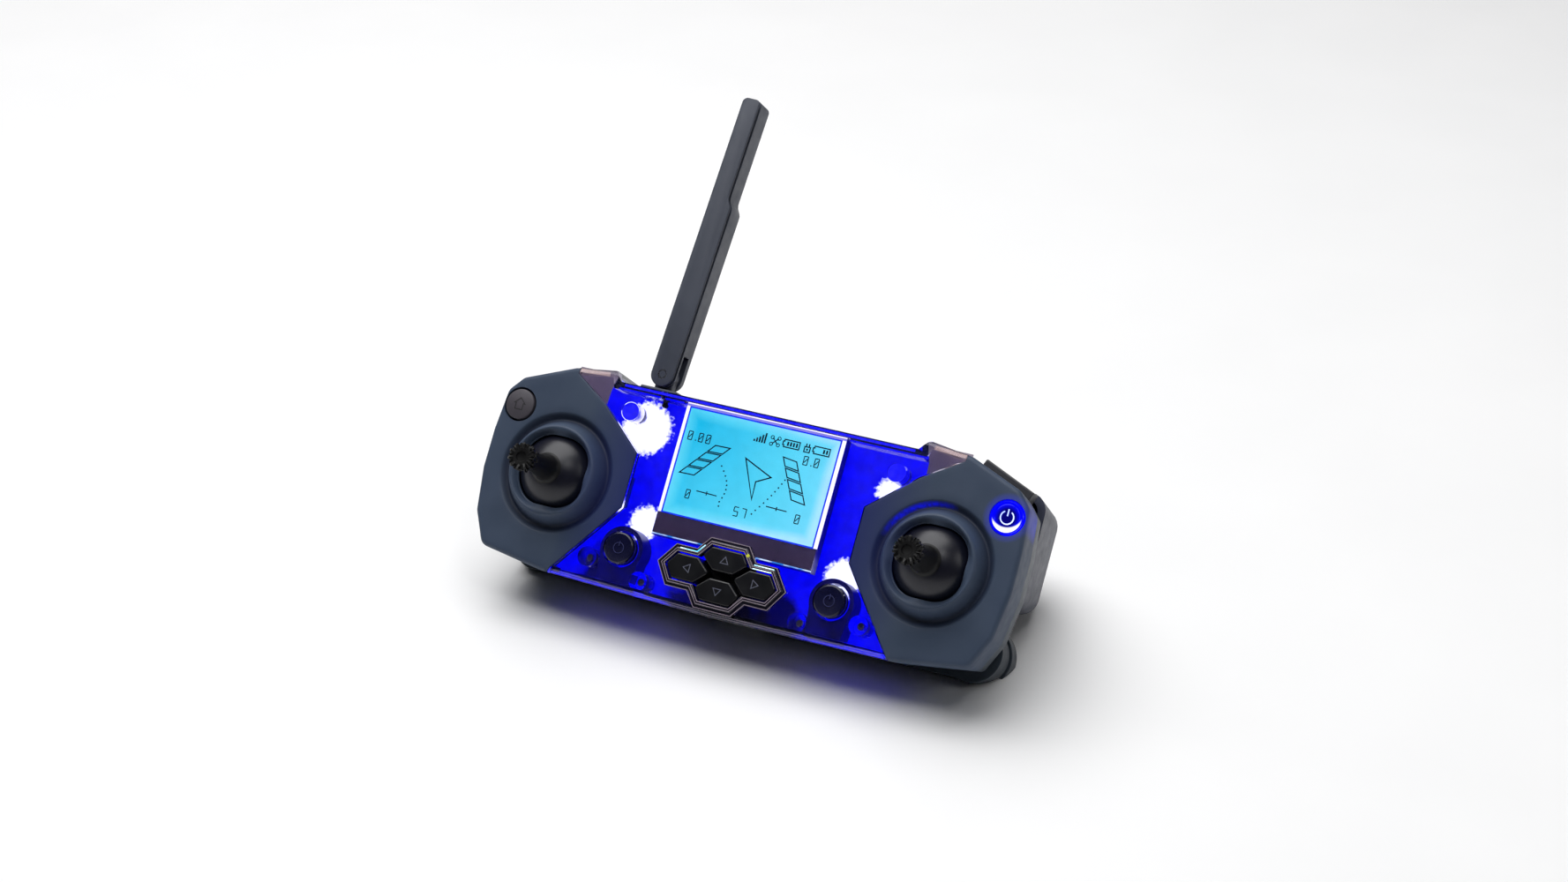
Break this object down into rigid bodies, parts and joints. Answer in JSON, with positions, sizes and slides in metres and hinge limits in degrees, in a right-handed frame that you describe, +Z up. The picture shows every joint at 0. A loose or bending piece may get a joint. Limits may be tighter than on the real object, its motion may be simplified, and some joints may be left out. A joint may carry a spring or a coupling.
{
  "type": "radio transmitter controller",
  "caption": "Handheld twin-stick radio transmitter with a lit clear front, display, keypad, folding antenna and folding phone clamps.",
  "frame": {"origin": "on the surface it stands on, under the middle of its bounding box", "axes": "+Z up, +X to the user's right, the face looks towards -Y and leans back 39 degrees"},
  "size_m": [0.1544, 0.1006, 0.1228],
  "materials": {
    "clear_plastic": "clear, faintly smoked",
    "smoke_plastic": "clear smoked plastic",
    "soft_grey": "soft-touch coating",
    "shell_grey": "fine satin",
    "handle_grey": "satin",
    "clamp_grey": "satin",
    "antenna_grey": "satin",
    "black_plastic": "satin",
    "black_rubber": "matte",
    "button_grey": "matte",
    "dark_key": "satin gloss",
    "ball_black": "polished",
    "stick_black": "satin",
    "power_lens": "lit blue lens",
    "white_board": "white solder mask, lit blue",
    "blue_led": "lit",
    "lcd_face": "lit cyan display",
    "light_guide": "lit white light guide",
    "dark_glass": "polished",
    "copper_film": "amber film",
    "green_board": "solder mask",
    "cell_wrap": "plain printed wrap",
    "plated_steel": "plated",
    "brass": "plain",
    "pot_blue": "moulded"
  },
  "bodies": {
    "housing": {"front_cover": "clear_plastic", "left_grip_cover": "soft_grey", "right_grip_cover": "soft_grey", "rear_shell": "shell_grey", "left_handle": "handle_grey", "right_handle": "handle_grey", "handle_feet": "black_rubber", "battery_door": "shell_grey", "battery_tray": "black_plastic", "battery_cells": "cell_wrap", "battery_contacts": "plated_steel", "main_board": "white_board", "glow_leds": "blue_led", "board_chips": "black_plastic", "buzzer": "black_plastic", "usb_socket": "plated_steel", "key_switches": "plated_steel", "button_boards": "green_board", "lcd_glass": "lcd_face", "lcd_backlight": "light_guide", "lcd_ledge": "dark_glass", "lcd_ribbon": "copper_film", "keypad_frame": "smoke_plastic", "left_gimbal_frame": "black_plastic", "right_gimbal_frame": "black_plastic", "gimbal_pots": "pot_blue", "antenna_bracket": "antenna_grey", "antenna_pin": "plated_steel", "antenna_coax": "black_rubber", "left_hinge_cap": "clamp_grey", "right_hinge_cap": "clamp_grey", "clamp_pins": "plated_steel", "front_screws": "plated_steel", "rear_screws": "plated_steel"},
    "left_yoke": {"left_gimbal_yoke": "black_plastic"},
    "left_stick": {"left_stick_ball": "ball_black", "left_stick_stem": "stick_black", "left_stick_tip": "stick_black"},
    "right_yoke": {"right_gimbal_yoke": "black_plastic"},
    "right_stick": {"right_stick_ball": "ball_black", "right_stick_stem": "stick_black", "right_stick_tip": "stick_black"},
    "antenna": {"antenna_front": "antenna_grey", "antenna_back": "antenna_grey", "antenna_whip": "brass"},
    "left_clamp": {"left_clamp_arm": "clamp_grey", "left_clamp_pad": "black_rubber"},
    "right_clamp": {"right_clamp_arm": "clamp_grey", "right_clamp_pad": "black_rubber"},
    "home_button": {"home_button": "button_grey"},
    "power_button": {"power_button": "power_lens"},
    "key_up": {"key_up": "dark_key"},
    "key_down": {"key_down": "dark_key"},
    "key_left": {"key_left": "dark_key"},
    "key_right": {"key_right": "dark_key"},
    "left_round_button": {"left_round_button": "dark_key"},
    "right_round_button": {"right_round_button": "dark_key"},
    "left_shoulder_button": {"left_shoulder_button": "button_grey"},
    "right_shoulder_button": {"right_shoulder_button": "button_grey"}
  },
  "joints": [
    {"name": "left_stick_up_down", "type": "hinge", "parent": "housing", "child": "left_yoke", "pos_m": [-0.055, -0.02646, 0.03388], "axis": [1, 0, 0], "range_deg": [-22, 22], "stiffness_Nm_per_rad": 0.05},
    {"name": "left_stick_left_right", "type": "hinge", "parent": "left_yoke", "child": "left_stick", "pos_m": [-0.055, -0.02646, 0.03388], "axis": [0, 0.6293, 0.7771], "range_deg": [-22, 22], "stiffness_Nm_per_rad": 0.05},
    {"name": "right_stick_up_down", "type": "hinge", "parent": "housing", "child": "right_yoke", "pos_m": [0.055, -0.02646, 0.03388], "axis": [1, 0, 0], "range_deg": [-22, 22], "stiffness_Nm_per_rad": 0.05},
    {"name": "right_stick_left_right", "type": "hinge", "parent": "right_yoke", "child": "right_stick", "pos_m": [0.055, -0.02646, 0.03388], "axis": [0, 0.6293, 0.7771], "range_deg": [-22, 22], "stiffness_Nm_per_rad": 0.05},
    {"name": "antenna_fold", "type": "hinge", "parent": "housing", "child": "antenna", "pos_m": [-0.034, -0.00339, 0.05792], "axis": [0, 0.7771, -0.6293], "range_deg": [-3, 87]},
    {"name": "left_clamp_fold", "type": "hinge", "parent": "housing", "child": "left_clamp", "pos_m": [-0.065, -0.02092, 0.00623], "axis": [0, 0.7771, -0.6293], "range_deg": [0, 90]},
    {"name": "right_clamp_fold", "type": "hinge", "parent": "housing", "child": "right_clamp", "pos_m": [0.065, -0.02092, 0.00623], "axis": [0, -0.7771, 0.6293], "range_deg": [0, 90]},
    {"name": "home_button_press", "type": "slide", "parent": "housing", "child": "home_button", "axis": [0, 0.7771, -0.6293], "range_m": [0, 0.0005], "stiffness_N_per_m": 600, "springref_m": -0.0008},
    {"name": "power_button_press", "type": "slide", "parent": "housing", "child": "power_button", "axis": [0, 0.7771, -0.6293], "range_m": [0, 0.0005], "stiffness_N_per_m": 600, "springref_m": -0.0008},
    {"name": "key_up_press", "type": "slide", "parent": "housing", "child": "key_up", "axis": [0, 0.7771, -0.6293], "range_m": [0, 0.0005], "stiffness_N_per_m": 600, "springref_m": -0.0008},
    {"name": "key_down_press", "type": "slide", "parent": "housing", "child": "key_down", "axis": [0, 0.7771, -0.6293], "range_m": [0, 0.0005], "stiffness_N_per_m": 600, "springref_m": -0.0008},
    {"name": "key_left_press", "type": "slide", "parent": "housing", "child": "key_left", "axis": [0, 0.7771, -0.6293], "range_m": [0, 0.0005], "stiffness_N_per_m": 600, "springref_m": -0.0008},
    {"name": "key_right_press", "type": "slide", "parent": "housing", "child": "key_right", "axis": [0, 0.7771, -0.6293], "range_m": [0, 0.0005], "stiffness_N_per_m": 600, "springref_m": -0.0008},
    {"name": "left_round_button_press", "type": "slide", "parent": "housing", "child": "left_round_button", "axis": [0, 0.7771, -0.6293], "range_m": [0, 0.0005], "stiffness_N_per_m": 600, "springref_m": -0.0008},
    {"name": "right_round_button_press", "type": "slide", "parent": "housing", "child": "right_round_button", "axis": [0, 0.7771, -0.6293], "range_m": [0, 0.0005], "stiffness_N_per_m": 600, "springref_m": -0.0008},
    {"name": "left_shoulder_button_press", "type": "slide", "parent": "housing", "child": "left_shoulder_button", "axis": [0.3827, -0.5814, -0.718], "range_m": [0, 0.0008], "stiffness_N_per_m": 600, "springref_m": -0.0008},
    {"name": "right_shoulder_button_press", "type": "slide", "parent": "housing", "child": "right_shoulder_button", "axis": [-0.3827, -0.5814, -0.718], "range_m": [0, 0.0008], "stiffness_N_per_m": 600, "springref_m": -0.0008}
  ]
}
